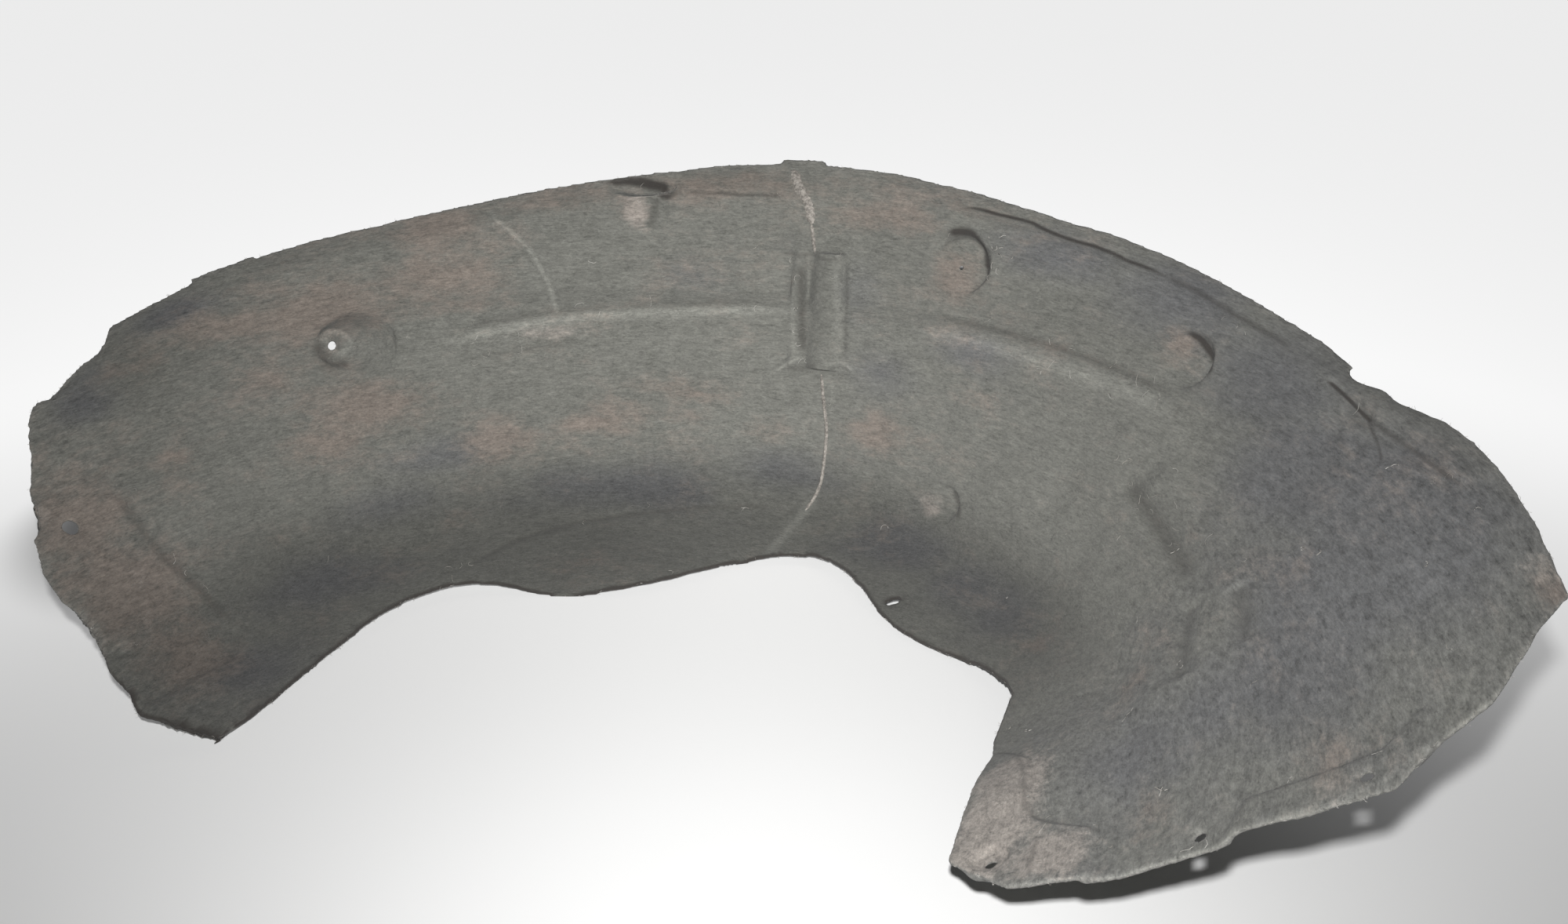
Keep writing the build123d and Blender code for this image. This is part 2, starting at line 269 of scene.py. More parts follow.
shellSet = {
    "voxel": 0.0016,
    "triangles": 190000,
    "settle": (3, 0.5),                  # passes and pull that even out the voxels
    "soften": (4, 0.6),                  # passes and pull that round the pressed edges
    "round": (90, 0.9),                  # passes and pull that wear the corners of the rim
    "lump": (0.0007, 0.09, 30, 11),      # slow unevenness of the felt: height, wavelength, waves, seed
    "ripple": (0.00021, 0.022, 40, 12),
    "fray": (0.00015, 0.016, 30, 21),    # unevenness along the cut edge
    "wave": (0.0042, 0.055, 14, 22),     # wavy edge of the end flange
    "waveAngles": (141, 147),
    "waveLimits": (-0.006, 0.002),
    "foldEnds": (0.1, 0.15),             # share of a fold's length over which it dies out
    "edgeReach": 0.012,                  # felt nearer the cut edge than this knows how near it is
    "edgeSteps": 14,
    "edgeFade": (0.001, 0.008),
    "faceAway": 0.3,                     # felt that faces away by this much is on the other side
    "rimFace": (0.002, 0.6),             # the cut face: nearness to the edge, most turn to either side
    "rimSpread": 8,
    "fineEdge": 0.0022,                  # edge kept at full detail
    "fineLine": (1.5, 0.25),             # the same beside lines: spare width in mm, least closeness
    "waveSpread": (0.6, 1.8),            # shortest and longest wave, as shares of the wavelength
}

# the place that the felt faces, in mm: inside the tyre around the arch, further in and higher at the foot
wheelSet = {"radius": 330, "height": 200, "footRadius": -80, "footHeight": 220, "footAngles": (-45, -5)}

lineSet = {"step": 0.004, "reach": 0.0025, "lift": 0.03, "depth": 0.08}  # reach in m per mm of half width

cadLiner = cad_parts["wheel_arch_liner"]
feltTree = BVHTree.FromObject(cadLiner, bpy.context.evaluated_depsgraph_get())


def meshArrays(mesh):
    points = np.empty(len(mesh.vertices) * 3, np.float32)
    mesh.vertices.foreach_get("co", points)
    edges = np.empty(len(mesh.edges) * 2, np.int32)
    mesh.edges.foreach_get("vertices", edges)
    normals = np.empty(len(mesh.vertices) * 3, np.float32)
    mesh.vertex_normals.foreach_get("vector", normals)
    return points.reshape(-1, 3).astype(float), edges.reshape(-1, 2), normals.reshape(-1, 3).astype(float)


def polarOf(points):
    x = points[:, 0] - wheelAxis[0]
    y = points[:, 1] - wheelAxis[1]
    return np.degrees(np.arctan2(y, x)), np.hypot(x, y) * 1000, (points[:, 2] - floorLift) * 1000


def easeStep(value, low, high):
    t = np.clip((value - low) / (high - low), 0, 1)
    return t * t * (3 - 2 * t)


# way towards the wheel, about square to the felt
def wheelWard(points):
    angle, radius, height = polarOf(points)
    foot = easeStep(-angle, *wheelSet["footAngles"])
    inward = wheelSet["radius"] + wheelSet["footRadius"] * foot - radius
    upward = wheelSet["height"] + wheelSet["footHeight"] * foot - height
    size = np.hypot(inward, upward)
    turn = np.radians(angle)
    return np.stack([np.cos(turn) * inward / size, np.sin(turn) * inward / size, upward / size], axis=1)


def neighbourMean(points, edges, count):
    total = np.zeros_like(points)
    for k in range(3):
        total[:, k] = np.bincount(edges[:, 0], points[edges[:, 1], k], len(points))
        total[:, k] += np.bincount(edges[:, 1], points[edges[:, 0], k], len(points))
    return total / count[:, None]


# distance along the felt to the cut edge, in metres, up to a reach
def edgeDistance(points, edges, side):
    reach = shellSet["edgeReach"]
    away = shellSet["faceAway"]
    lengths = np.linalg.norm(points[edges[:, 0]] - points[edges[:, 1]], axis=1)
    result = np.full(len(points), reach)
    for mine, others in ((side > 0, side < -away), (side <= 0, side > away)):
        far = np.where(others, 0.0, reach)
        for step in range(shellSet["edgeSteps"]):
            np.minimum.at(far, edges[:, 0], far[edges[:, 1]] + lengths)
            np.minimum.at(far, edges[:, 1], far[edges[:, 0]] + lengths)
        result = np.where(mine, np.minimum(far, reach), result)
    return result


# way out past the cut edge, spread to the felt beside it
def outwardWay(normals, ward, side, edgeGap, edges, count):
    nearest, turned = shellSet["rimFace"]
    flat = normals - side[:, None] * ward
    rim = ((edgeGap < nearest) & (np.abs(side) < turned)).astype(float)[:, None]
    way = flat * rim
    for step in range(shellSet["rimSpread"]):
        way = np.where(rim > 0, flat, neighbourMean(way, edges, count))
    return way / np.maximum(np.linalg.norm(way, axis=1), 1e-4)[:, None]


# nearest felt on the wheel side of a point
def onFelt(point):
    ward = Vector(wheelWard(np.array([point]))[0])
    start = Vector(point) + ward * lineSet["lift"]
    place, normal, face, gap = feltTree.ray_cast(start, -ward, lineSet["depth"])
    return (place, normal) if place else (Vector(point), ward)


def walk(stops, step):
    path = []
    for a, b in zip(stops, stops[1:]):
        count = max(2, int((b - a).length / step))
        path += [a.lerp(b, k / count) for k in range(count)]
    return path + [stops[-1]]


# smooth path along a few places, laid on the felt
def feltPath(line, step):
    stops = [Vector(onArch(*p)) for p in line]
    for cut in range(3):  # each pass cuts the corners at a quarter
        finer = [stops[0]]
        for a, b in zip(stops, stops[1:]):
            finer += [a.lerp(b, 0.25), a.lerp(b, 0.75)]
        stops = finer + [stops[-1]]
    return [onFelt(p) for p in walk(stops, step)]


# points near a line on the felt: which they are, how close and how far along it
def nearLine(points, line, width):
    path = np.array([place for place, normal in feltPath(line, lineSet["step"])])
    reach = lineSet["reach"] * width
    close = np.all((points > path.min(axis=0) - reach) & (points < path.max(axis=0) + reach), axis=1)
    which = np.flatnonzero(close)
    best = np.full(len(which), 1e9)
    along = np.zeros(len(which))
    run = 0.0
    for a, b in zip(path, path[1:]):
        way = b - a
        size = max(np.linalg.norm(way), 1e-6)
        t = np.clip((points[which] - a) @ way / size ** 2, 0, 1)
        gap = np.linalg.norm(points[which] - a - t[:, None] * way, axis=1)
        nearer = gap < best
        best = np.where(nearer, gap, best)
        along = np.where(nearer, run + t * size, along)
        run += size
    return which, np.exp(-(best * 1000 / width) ** 2), along / run


# smooth unevenness from waves in set directions
def unevenness(points, name):
    height, wavelength, count, seed = shellSet[name]
    dice = np.random.default_rng(seed)
    total = np.zeros(len(points))
    for k in range(count):
        way = dice.normal(size=3)
        way /= np.linalg.norm(way)
        size = wavelength * dice.uniform(*shellSet["waveSpread"])
        total += np.sin(points @ way * (2 * math.pi / size) + dice.uniform(0, 2 * math.pi))
    return height * total / math.sqrt(count / 2)


def applyModifier(thing, kind, settings):
    modifier = thing.modifiers.new(kind, kind)
    for name, value in settings.items():
        setattr(modifier, name, value)
    made = bpy.data.meshes.new_from_object(thing.evaluated_get(bpy.context.evaluated_depsgraph_get()))
    thing.modifiers.clear()
    old = thing.data
    thing.data = made
    bpy.data.meshes.remove(old)


def remeshFelt():
    mesh = cadLiner.data.copy()
    work = bmesh.new()
    work.from_mesh(mesh)
    bmesh.ops.remove_doubles(work, verts=work.verts, dist=1e-6)
    work.to_mesh(mesh)
    work.free()
    shell = bpy.data.objects.new("feltShell", mesh)
    bpy.context.scene.collection.objects.link(shell)
    applyModifier(shell, "REMESH", {"mode": "VOXEL", "voxel_size": shellSet["voxel"]})
    print("felt remeshed,", len(shell.data.vertices), "points")
    return shell


def softenFelt(points, edges, count, ward):
    passes, pull = shellSet["settle"]
    for step in range(passes):
        points += pull * (neighbourMean(points, edges, count) - points)
    passes, pull = shellSet["soften"]
    for step in range(passes):
        across = np.sum((neighbourMean(points, edges, count) - points) * ward, axis=1)
        points += pull * across[:, None] * ward
    worn = np.zeros(len(points))
    for place, reach in rimCorners:
        gap = np.linalg.norm(points - np.array(onArch(*place)), axis=1) * 1000
        worn = np.maximum(worn, np.exp(-(gap / reach) ** 2))
    passes, pull = shellSet["round"]
    for step in range(passes):
        move = neighbourMean(points, edges, count) - points
        move -= np.sum(move * ward, axis=1)[:, None] * ward
        points += pull * worn[:, None] * move


def foldFelt(points, ward):
    rise = unevenness(points, "lump") + unevenness(points, "ripple")
    start, end = shellSet["foldEnds"]
    for name, (width, height) in feltFolds.items():
        which, shape, along = nearLine(points, feltLines[name], width)
        rise[which] += height / 1000 * shape * easeStep(along, 0, start) * easeStep(1 - along, 0, end)
    points += rise[:, None] * ward


# cut edge: small fray all round, slow waves along the end flange
def frayFelt(points, edgeGap, outward):
    angle, radius, height = polarOf(points)
    nearEdge = 1 - easeStep(edgeGap, *shellSet["edgeFade"])
    wave = easeStep(angle, *shellSet["waveAngles"]) * unevenness(points, "wave")
    move = unevenness(points, "fray") + np.clip(wave, *shellSet["waveLimits"])
    points += (nearEdge * move)[:, None] * outward


# fewer triangles where the felt is plain
def thinFelt(shell, points, edgeGap):
    fine = edgeGap < shellSet["fineEdge"]
    spare, closest = shellSet["fineLine"]
    for lines in (feltFolds, *feltMarks.values()):
        for name, (width, amount) in lines.items():
            which, shape, along = nearLine(points, feltLines[name], width + spare)
            fine[which[shape > closest]] = True
    shell.vertex_groups.new(name="fine").add(np.flatnonzero(fine).tolist(), 1.0, "REPLACE")
    ratio = shellSet["triangles"] / sum(len(p.vertices) - 2 for p in shell.data.polygons)
    settings = {"ratio": min(1.0, ratio), "vertex_group": "fine"}
    settings.update({"invert_vertex_group": True, "vertex_group_factor": 1.0})
    applyModifier(shell, "DECIMATE", settings)


def pressShell():
    shell = remeshFelt()
    points, edges, normals = meshArrays(shell.data)
    ward = wheelWard(points)
    side = np.sum(normals * ward, axis=1)
    edgeGap = edgeDistance(points, edges, side)
    count = np.bincount(edges.ravel(), minlength=len(points)).astype(float)
    outward = outwardWay(normals, ward, side, edgeGap, edges, count)
    softenFelt(points, edges, count, ward)
    foldFelt(points, ward)
    frayFelt(points, edgeGap, outward)
    shell.data.vertices.foreach_set("co", points.astype(np.float32).ravel())
    shell.data.update()
    thinFelt(shell, points, edgeGap)
    shell.data.shade_smooth()
    print("felt shaped,", len(shell.data.polygons), "faces")
    return shell


shell = pressShell()
# from here on, lines lie on the shaped felt
feltTree = BVHTree.FromObject(shell, bpy.context.evaluated_depsgraph_get())

# dust, wear, painted shade and light on the felt: place, reach along the arch and across in mm, strength

feltPatches = {
    "dust": [
        ((138.1, 498, 189), 40, 12, 0.8), ((128.1, 499, 205), 60, 20, 0.9), ((119.4, 497, 205), 70, 26, 0.8),
        ((110, 500, 215), 60, 26, 0.8), ((104, 510, 245), 40, 20, 0.6), ((117.8, 460, 129), 50, 30, 0.9),
        ((122, 448, 115), 40, 22, 0.8), ((137.6, 448, 130), 16, 14, 0.6), ((139.1, 445, 120), 14, 14, 0.5),
        ((90.3, 518, 269), 16, 18, 1.0), ((78.8, 519, 290), 60, 12, 0.8), ((64.3, 515, 272), 34, 14, 0.7),
        ((58.8, 509, 234), 22, 22, 1.0), ((34.6, 501, 228), 14, 13, 0.9), ((82.8, 474, 118), 50, 16, 0.7),
        ((93.1, 459, 93), 50, 14, 0.7), ((103.7, 454, 86), 40, 16, 0.8), ((77, 472, 85), 24, 12, 0.6),
        ((64, 470, 101), 26, 18, 0.9), ((97.1, 362, 9), 26, 12, 0.6), ((32.1, 370, 32), 12, 8, 0.9),
        ((11.8, 353, 78), 20, 16, 0.4), ((8.7, 395, 131), 14, 16, 0.5), ((-12.6, 337, 92), 26, 14, 0.8),
        ((-13.9, 416, 143), 26, 16, 0.5), ((-7.2, 525, 222), 16, 14, 0.9), ((84, 520, 286), 60, 16, 0.8),
        ((96, 520, 280), 60, 18, 0.8), ((108, 514, 255), 40, 24, 0.9), ((67, 514, 270), 40, 16, 0.7),
        ((88, 465, 100), 90, 12, 0.6), ((127, 470, 160), 30, 16, 0.5), ((149, 440, 118), 34, 46, 1.0),
        ((149, 395, 75), 40, 46, 1.0), ((147, 350, 30), 34, 34, 0.9),
    ],
    # pale felt, but the two patches on the right flange and the strip under the left ledge are painted light
    "pale": [
        ((2.6, 265, 50), 40, 26, 1.0), ((-6.4, 251, 52), 34, 26, 1.0), ((-14, 245, 50), 34, 26, 0.9),
        ((-17, 283, 69), 24, 24, 0.9), ((-17.7, 391, 128), 18, 20, 0.3), ((-17.5, 425, 150), 18, 26, 0.3),
        ((-5.5, 522, 221), 20, 22, 0.42), ((56.2, 444, 58), 14, 11, 0.6), ((99.5, 484, 169), 55, 8, 0.4),
        ((90.0, 518, 266), 15, 20, 0.8),
    ],
    # painted shade: patches that darken the felt
    "shadePatch": [
        ((139, 502, 193), 70, 34, 0.75), ((133, 507, 210), 50, 20, 0.4), ((80, 522, 293), 70, 14, 0.6),
        ((131.7, 404, 61), 60, 40, 0.4), ((139, 460, 140), 60, 40, 0.25), ((24.2, 487, 214), 60, 40, 0.42),
        ((152, 405, 75), 40, 70, 0.5), ((-7.3, 406, 142), 60, 50, 0.36), ((86, 472, 118), 90, 22, 0.28),
        ((97, 380, 12), 70, 36, 0.4), ((71.5, 496, 195), 16, 50, 0.65), ((46, 498, 222), 120, 22, 0.4),
        ((64, 508, 240), 40, 30, 0.3), ((22, 440, 140), 40, 30, 0.2),
    ],
    "blue": [
        ((132.7, 515, 220), 40, 14, 0.9), ((142.7, 497, 179), 24, 18, 0.9), ((141.2, 505, 191), 30, 14, 0.7),
        ((111.4, 446, 83), 50, 16, 0.8), ((117.6, 427, 54), 60, 20, 0.75), ((141.9, 325, 10), 40, 26, 0.9),
        ((128, 384, 25), 80, 22, 0.9), ((91.1, 442, 42), 110, 22, 0.9), ((74.2, 466, 53), 60, 22, 0.8),
        ((58.1, 424, 23), 60, 26, 0.9), ((48.6, 511, 263), 70, 22, 0.8), ((36.4, 511, 257), 70, 34, 0.9),
        ((24.7, 500, 233), 60, 40, 0.9), ((16.4, 471, 198), 60, 40, 0.9), ((7.2, 478, 211), 60, 40, 0.9),
        ((0.7, 477, 208), 60, 50, 0.9), ((1.2, 439, 176), 60, 44, 0.9), ((47.7, 398, 23), 40, 30, 0.8),
        ((40.9, 388, 25), 40, 30, 0.8), ((-2.4, 332, 85), 50, 40, 0.6), ((-1.8, 370, 116), 40, 34, 0.6),
        ((-3.5, 411, 151), 50, 36, 0.8), ((63.9, 482, 147), 34, 22, 0.7), ((54.9, 483, 181), 40, 16, 0.7),
        ((85, 496, 212), 50, 14, 0.5), ((68, 500, 215), 20, 26, 0.6),
    ],
}

paintSet = {
    "wheelSide": (-0.1, 0.3),
    "lowHeights": (30, 90),        # painted shade: the knee and the lip are painted darker
    "lowAngles": (12, 36),
    "woolWing": (10, 34),          # loose wool on the wing and less of it on the end flange
    "woolFlange": (140, 146),
    "flangeWool": 0.4,
    "lipGap": (0.0024, 0.006),     # painted shadow: a dark line along the lip's cut edge
    "lipTurn": (0.35, 0.8),
    "lipTop": 0.2,
    "lipHeights": (25, 60),
    "lipAngles": (14, 26),
    "cutEdge": (0.0005, 0.005),
    "markEnds": 0.15,              # share of a mark's length over which it fades
    "endStrength": 0.3,            # and what is left of it at its ends
}


def paintFelt(shell):
    points, edges, normals = meshArrays(shell.data)
    side = np.sum(normals * wheelWard(points), axis=1)
    wheelSide = easeStep(side, *paintSet["wheelSide"])
    angle, radius, height = polarOf(points)
    turn = np.radians(angle)
    archWay = np.stack([-np.sin(turn), np.cos(turn), np.zeros(len(turn))], axis=1)

    def paint(name, value):
        layer = shell.data.attributes.new(name, "FLOAT", "POINT")
        layer.data.foreach_set("value", np.clip(value, 0, 1).astype(np.float32))

    for name, patches in feltPatches.items():
        total = np.zeros(len(points))
        for place, reach, across, strength in patches:
            gap = (points - np.array(onArch(*place))) * 1000
            run = np.sum(gap * archWay, axis=1)
            rest = np.linalg.norm(gap - run[:, None] * archWay, axis=1)
            total = np.maximum(total, strength * np.exp(-(run / reach) ** 2 - (rest / across) ** 2))
        paint(name, total * wheelSide)
    # painted shade on the knee and the lip
    low = (1 - easeStep(height, *paintSet["lowHeights"])) * easeStep(angle, *paintSet["lowAngles"])
    paint("low", low * wheelSide)
    flangeWool = paintSet["flangeWool"] * easeStep(angle, *paintSet["woolFlange"])
    paint("wool", np.maximum(1 - easeStep(angle, *paintSet["woolWing"]), flangeWool))

    edgeGap = edgeDistance(points, edges, side)
    # painted shadow along the lip's cut edge, laid into the painted shade
    lipShadow = 1 - easeStep(edgeGap, *paintSet["lipGap"])
    lipShadow *= 1 - paintSet["lipTop"] * easeStep(side, *paintSet["lipTurn"])
    lipShadow *= (1 - easeStep(height, *paintSet["lipHeights"])) * easeStep(angle, *paintSet["lipAngles"])
    fade, least = paintSet["markEnds"], paintSet["endStrength"]
    for name, marks in feltMarks.items():
        total = np.zeros(len(points))
        for line, (width, strength) in marks.items():
            which, shape, along = nearLine(points, feltLines[line], width)
            ends = least + (1 - least) * easeStep(along, 0, fade) * easeStep(1 - along, 0, fade)
            total[which] = np.maximum(total[which], strength * ends * shape)
        paint(name, total * wheelSide + (lipShadow if name == "paintedShade" else 0))
    paint("cutEdge", 1 - easeStep(edgeGap, *paintSet["cutEdge"]) - lipShadow)
    paint("wheelSide", wheelSide)
    print("felt painted")


paintFelt(shell)

# needle felt: fibres run along the arch, with dust, wear, lint, painted shade and painted highlights over
# them

feltSet = {
    "green": (0.150, 0.150, 0.134),
    "brown": (0.191, 0.159, 0.136),
    "pale": (0.290, 0.260, 0.232),
    "blue": (0.114, 0.115, 0.116),
    "fibre": (0.34, 0.325, 0.30),
    # colour of the painted shade
    "paintedShade": (0.034, 0.030, 0.027),
    "back": (0.126, 0.126, 0.116),
    # painted shade on the knee, the lip and the shade patches, then the lift of painted highlights and wear
    "lowShade": 0.42,
    "shadePatchDepth": 0.3,
    "wearAndHighlight": 0.55,
    "bump": (0.6, 0.0012),       # strength and depth
    "archRadius": 450,           # mm: the flow is measured along this arc
}

# values between which a layer comes in, and the most that it covers
feltFades = {
    "hair": (0.0, 0.026),
    "curl": (0.0, 0.02),
    "lint": (0.5, 0.68),
    "dust": (0.12, 0.72),
    "pale": (0.18, 0.66),
    "blue": (0.02, 0.92),
    "paintedShade": (0.06, 0.9),
    "cutEdge": (0.1, 0.6),
}
feltCovers = {"dust": 0.8, "pale": 0.85, "paintedShade": 0.92, "cutEdge": 0.4}

# noise over the felt: scale along the arch, out and up per mm, then detail, roughness and twist
feltNoise = {
    "mottle": ((0.010, 0.018, 0.018), 4, 0.6, 0.0),
    "cloud": ((0.028, 0.06, 0.06), 5, 0.68, 0.0),
    "speckle": ((0.11, 0.2, 0.2), 4, 0.7, 0.0),
    "streak": ((0.11, 0.55, 0.55), 5, 0.72, 0.9),
    "grain": ((0.42, 0.75, 0.75), 3, 0.7, 0.0),
    "strand": ((0.11, 0.30, 0.30), 4, 0.6, 1.6),
    "wisp": ((0.17, 0.24, 0.24), 3, 0.55, 2.4),
    "lint": ((0.03, 0.05, 0.05), 3, 0.6, 0.0),
}


# mm along the arch, out and up
def flowOf(wire):
    place = wire.node("TexCoord", None, None, out="Object")
    x, y, z = (wire.node("SeparateXYZ", None, {0: place}, out=k) for k in range(3))
    x = x - wheelAxis[0]
    y = y - wheelAxis[1]
    radius = (x * x + y * y) ** 0.5
    turn = wire.maths("ARCTAN2", y, x)
    return wire.node("CombineXYZ", None, {0: turn * feltSet["archRadius"], 1: radius * 1000, 2: z * 1000})


def makeFelt():
    fixed = {"Roughness": 0.94, "Sheen Weight": 0.10, "Sheen Roughness": 0.6, "Specular IOR Level": 0.2}
    material, shader, wire = newMaterial("needleFelt", fixed)
    flow = flowOf(wire)
    noise = {name: flow.stretch(scale).noise(*rest) for name, (scale, *rest) in feltNoise.items()}
    mottle, cloud, speckle, streak, grain = (
        noise[name] - 0.5 for name in ("mottle", "cloud", "speckle", "streak", "grain"))
    hair = 1 - abs(noise["strand"] - 0.5).between(*feltFades["hair"])
    curl = 1 - abs(noise["wisp"] - 0.52).between(*feltFades["curl"])
    lintPatch = noise["lint"].between(*feltFades["lint"])

    mask = {}
    for name in ("dust", "pale", "blue", "shadePatch", "low", "wool", "paintedShade", "worn", "cutEdge", "wheelSide"):
        mask[name] = wire.node("Attribute", {"attribute_name": name}, None, out="Fac")
    patchy = mottle * 1.1 + cloud * 1.0 + speckle * 0.7
    dust = (mask["dust"] * 0.62 + patchy + 0.12).between(*feltFades["dust"])
    pale = (mask["pale"] + patchy * 0.7).between(*feltFades["pale"])
    blue = mask["blue"] + mask["wool"] * 0.3 + mottle * 0.9 - cloud * 0.4
    blue = blue.between(*feltFades["blue"])
    # painted shade in corners and creases, with the painted shadow along the lip, broken by speckle
    paintedShade = (mask["paintedShade"] * (1 + speckle * 0.9)).between(*feltFades["paintedShade"])

    colour = wire.mixed(feltSet["green"], feltSet["blue"], blue)
    colour = colour.tint(feltSet["brown"], dust * feltCovers["dust"])
    colour = colour.tint(feltSet["pale"], pale * feltCovers["pale"])
    colour = wire.mixed(feltSet["back"], colour, mask["wheelSide"])
    tone = 1 + streak * 1.4 + grain * 1.0 + speckle * (0.75 + 1.1 * mask["wool"]) + cloud * 0.4
    # painted shade on the knee, the lip and the shade patches
    tone = tone * (1 - mask["low"] * feltSet["lowShade"]) * (1 - mask["shadePatch"] * feltSet["shadePatchDepth"])
    # painted highlights on lit ridges and edges, with some real wear
    tone = tone * (1 + mask["worn"] * feltSet["wearAndHighlight"])
    colour = wire.mixed(colour, tone.grey(), 1.0, "MULTIPLY")
    fibres = hair * 0.13 + curl * lintPatch * (0.22 + 0.3 * mask["dust"] + 0.1 * mask["wool"])
    colour = colour.tint(feltSet["fibre"], fibres)
    # lay the painted shade on top
    colour = colour.tint(feltSet["paintedShade"], paintedShade * feltCovers["paintedShade"])
    cutEdge = mask["cutEdge"] * (0.3 + streak).between(*feltFades["cutEdge"])
    colour = colour.tint(feltSet["fibre"], cutEdge * feltCovers["cutEdge"])
    height = streak * 0.6 + grain * 0.4 + hair * 0.2 + curl * 0.2 + speckle * 0.6
    strength, depth = feltSet["bump"]
    bump = wire.node("Bump", None, {"Strength": strength, "Distance": depth, "Height": height})
    colour.feed(shader, "Base Color")
    bump.feed(shader, "Normal")
    return material


shell.data.materials.clear()
shell.data.materials.append(makeFelt())
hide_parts("wheel_arch_liner")
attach(shell, "root")
print("felt dressed")

# seam bead: a raised line across the arch, pebbled by the rim and thin below the rib

seamSet = {
    "step": 0.0008,
    "rim": (0.0046, 0.0014, 0.5),        # half width, height, pebbling
    "rimThin": (0.0019, 0.0015, 0.15),
    "thin": (0.0019, 0.0015, 0.15),
    "across": (-1.0, -0.66, -0.33, 0.0, 0.33, 0.66, 1.0),
    "taper": 12,                         # steps over which each end dies out
    "endWidth": 0.4,                     # share of the width at each end
    "unevenWidth": 0.15,
    "knobTurns": (1.35, 1.9),            # radians from knob to knob, along and across
    "knobRough": 0.25,
    "sink": 0.0004,
    "wornScale": 0.35,                   # spots of wear per mm
    "wornFade": (0.35, 0.68),
    "dark": (0.135, 0.125, 0.112),
    "pale": (0.33, 0.305, 0.275),
}
seamLines = {
    "rim": [(75.2, 529, 303), (74.3, 517, 289), (73.3, 516, 277), (73, 514, 261)],
    "rimThin": [(73, 514, 261), (72.8, 513, 248), (72.6, 511, 237)],
    "thin": [(70.9, 485, 139), (70.3, 479, 111), (69.8, 475, 92), (69.8, 468, 61), (70.1, 463, 41),
             (71.2, 451, 25)],
}


def meshPiece(name, points, faces, material):
    mesh = bpy.data.meshes.new(name)
    mesh.from_pydata(points, [], faces)
    mesh.shade_smooth()
    mesh.materials.append(material)
    piece = bpy.data.objects.new(name, mesh)
    bpy.context.scene.collection.objects.link(piece)
    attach(piece, "root")
    return piece


def layBead(points, faces, line, width, height, pebble, dice):
    path = feltPath(line, seamSet["step"])
    first = len(points)
    uneven = seamSet["unevenWidth"]
    thinnest = seamSet["endWidth"]
    turnAlong, turnAcross = seamSet["knobTurns"]
    for k, (place, normal) in enumerate(path):
        ahead = path[min(k + 1, len(path) - 1)][0] - path[max(k - 1, 0)][0]
        sideways = normal.cross(ahead).normalized()
        taper = min(1.0, k / seamSet["taper"], (len(path) - 1 - k) / seamSet["taper"])
        half = width * (1 - uneven + uneven * dice.uniform()) * (thinnest + (1 - thinnest) * taper)
        for j, c in enumerate(seamSet["across"]):
            lift = (1 - c * c) * height * taper
            wave = math.sin(k * turnAlong + j * turnAcross)
            knob = 1 + pebble * wave + seamSet["knobRough"] * dice.normal()
            points.append(place + sideways * (c * half) + normal * (lift * knob - seamSet["sink"] * abs(c)))
    wide = len(seamSet["across"])
    for k in range(len(path) - 1):
        for j in range(wide - 1):
            a = first + k * wide + j
            faces.append((a, a + 1, a + wide + 1, a + wide))


def makeSeam():
    material, shader, wire = newMaterial("seamFelt", {"Roughness": 0.9, "Specular IOR Level": 0.2})
    worn = flowOf(wire).stretch((seamSet["wornScale"],) * 3).noise(4, 0.7).between(*seamSet["wornFade"])
    wire.mixed(seamSet["dark"], seamSet["pale"], worn).feed(shader, "Base Color")
    dice = np.random.default_rng(31)
    points, faces = [], []
    for name, line in seamLines.items():
        layBead(points, faces, line, *seamSet[name], dice)
    seam = meshPiece("seamBead", points, faces, material)
    print("seam laid,", len(seam.data.polygons), "faces")


makeSeam()

# loose fibres: lint lying on the felt and fuzz along its cut edge

fibreSet = {
    "lint": 120,
    "lintLength": (0.004, 0.012),
    "lintSteps": 6,
    "lintRadius": 0.00014,
    "lintThick": (0.6, 1.3),
    "spotThick": 1.7,            # the lint that lies at set spots
    "lintFacing": 0.8,
    "lintBend": 0.45,
    "lintStray": 0.3,
    "lintLift": (0.0003, 0.0005),
    "fuzz": 420,
    "fuzzLength": (0.001, 0.003),
    "fuzzSteps": 4,
    "fuzzRoot": 0.0005,          # sunk into the felt
    "fuzzRadius": 0.00010,
    "fuzzThick": (0.7, 1.5),
    "fuzzStray": (0.7, 0.5),     # at the root and along the fibre
    "fuzzRim": (0.002, 0.5),
    "floorGap": 0.0002,
    "toneScale": 0.05,
    "toneFade": (0.3, 0.7),
    "pale": (0.62, 0.60, 0.56),
    "dark": (0.30, 0.28, 0.25),
}
lintSpots = [
    (34.3, 451, 147), (78.2, 512, 240), (93.8, 506, 223), (93.5, 489, 185), (74.1, 496, 192),
    (-1.1, 480, 208), (22.2, 424, 129), (-9.4, 337, 91), (-9.9, 341, 93), (54, 514, 272),
    (53.1, 510, 255), (8.3, 443, 178), (6.2, 445, 181), (41.8, 399, 32), (22.6, 304, 15),
    (18.3, 303, 29), (55.2, 512, 262), (54.6, 511, 257), (54.9, 510, 250), (54.1, 511, 262),
    (55.6, 513, 268), (54.4, 509, 246),
]


def addFibre(points, faces, path, radius):
    first = len(points)
    for k, place in enumerate(path):
        ahead = (path[min(k + 1, len(path) - 1)] - path[max(k - 1, 0)]).normalized()
        up = ahead.orthogonal().normalized()
        over = ahead.cross(up)
        size = radius * (1 if k < len(path) - 1 else 0.4)
        for j in range(3):
            turn = j * 2 * math.pi / 3
            points.append(place + (up * math.cos(turn) + over * math.sin(turn)) * size)
    for k in range(len(path) - 1):
        for j in range(3):
            a = first + k * 3 + j
            b = first + k * 3 + (j + 1) % 3
            faces.append((a, b, b + 3, a + 3))


